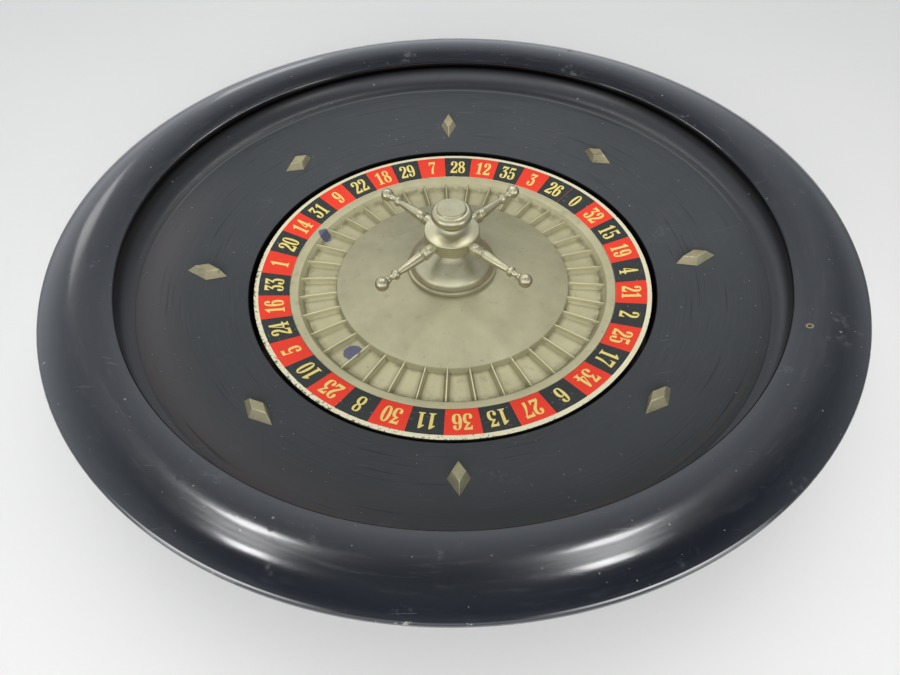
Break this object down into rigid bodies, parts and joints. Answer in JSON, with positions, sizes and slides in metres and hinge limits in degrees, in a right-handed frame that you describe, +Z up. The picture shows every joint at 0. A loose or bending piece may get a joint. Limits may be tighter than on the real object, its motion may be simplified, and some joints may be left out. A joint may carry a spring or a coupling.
{
  "type": "roulette wheel",
  "caption": "Shallow black wooden bowl with a rounded rim and a ball track, and a plated rotor that spins in it, with a number ring, walled pockets, a cone and a turret with handles.",
  "frame": {"origin": "on the table under the middle of the bowl, at the bottom of the base board", "axes": "+Z up along the spindle; +X to the right and +Y away from the player who faces it"},
  "size_m": [0.46, 0.46, 0.087],
  "materials": {
    "black_lacquer": "black lacquer on turned wood, semi-gloss, scratched",
    "apron_black": "satin black paint with circular wear",
    "stained_wood": "dark stain",
    "satin_nickel": "warm satin nickel plating, worn",
    "ring_enamel": "satin enamel: ivory border, red and dark cells, yellow numerals",
    "aged_brass": "dull satin",
    "turned_steel": "turned"
  },
  "bodies": {
    "bowl": {"rim": "black_lacquer", "apron": "apron_black", "base_board": "stained_wood", "deflector_1": "aged_brass", "deflector_2": "aged_brass", "deflector_3": "aged_brass", "deflector_4": "aged_brass", "deflector_5": "aged_brass", "deflector_6": "aged_brass", "deflector_7": "aged_brass", "deflector_8": "aged_brass", "spindle": "turned_steel"},
    "rotor": {"rotor_pan": "satin_nickel", "number_ring": "ring_enamel", "cone_plate": "satin_nickel", "bush": "aged_brass", "turret_base": "satin_nickel", "turret_hub": "satin_nickel", "turret_cap": "satin_nickel", "handle_1": "satin_nickel", "handle_2": "satin_nickel", "handle_3": "satin_nickel", "handle_4": "satin_nickel", "fret_01": "satin_nickel", "fret_02": "satin_nickel", "fret_03": "satin_nickel", "fret_04": "satin_nickel", "fret_05": "satin_nickel", "fret_06": "satin_nickel", "fret_07": "satin_nickel", "fret_08": "satin_nickel", "fret_09": "satin_nickel", "fret_10": "satin_nickel", "fret_11": "satin_nickel", "fret_12": "satin_nickel", "fret_13": "satin_nickel", "fret_14": "satin_nickel", "fret_15": "satin_nickel", "fret_16": "satin_nickel", "fret_17": "satin_nickel", "fret_18": "satin_nickel", "fret_19": "satin_nickel", "fret_20": "satin_nickel", "fret_21": "satin_nickel", "fret_22": "satin_nickel", "fret_23": "satin_nickel", "fret_24": "satin_nickel", "fret_25": "satin_nickel", "fret_26": "satin_nickel", "fret_27": "satin_nickel", "fret_28": "satin_nickel", "fret_29": "satin_nickel", "fret_30": "satin_nickel", "fret_31": "satin_nickel", "fret_32": "satin_nickel", "fret_33": "satin_nickel", "fret_34": "satin_nickel", "fret_35": "satin_nickel", "fret_36": "satin_nickel", "fret_37": "satin_nickel"}
  },
  "joints": [
    {"name": "rotor_spin", "type": "hinge", "parent": "bowl", "child": "rotor", "pos_m": [0, 0, 0.03], "axis": [0, 0, 1], "continuous": true}
  ]
}
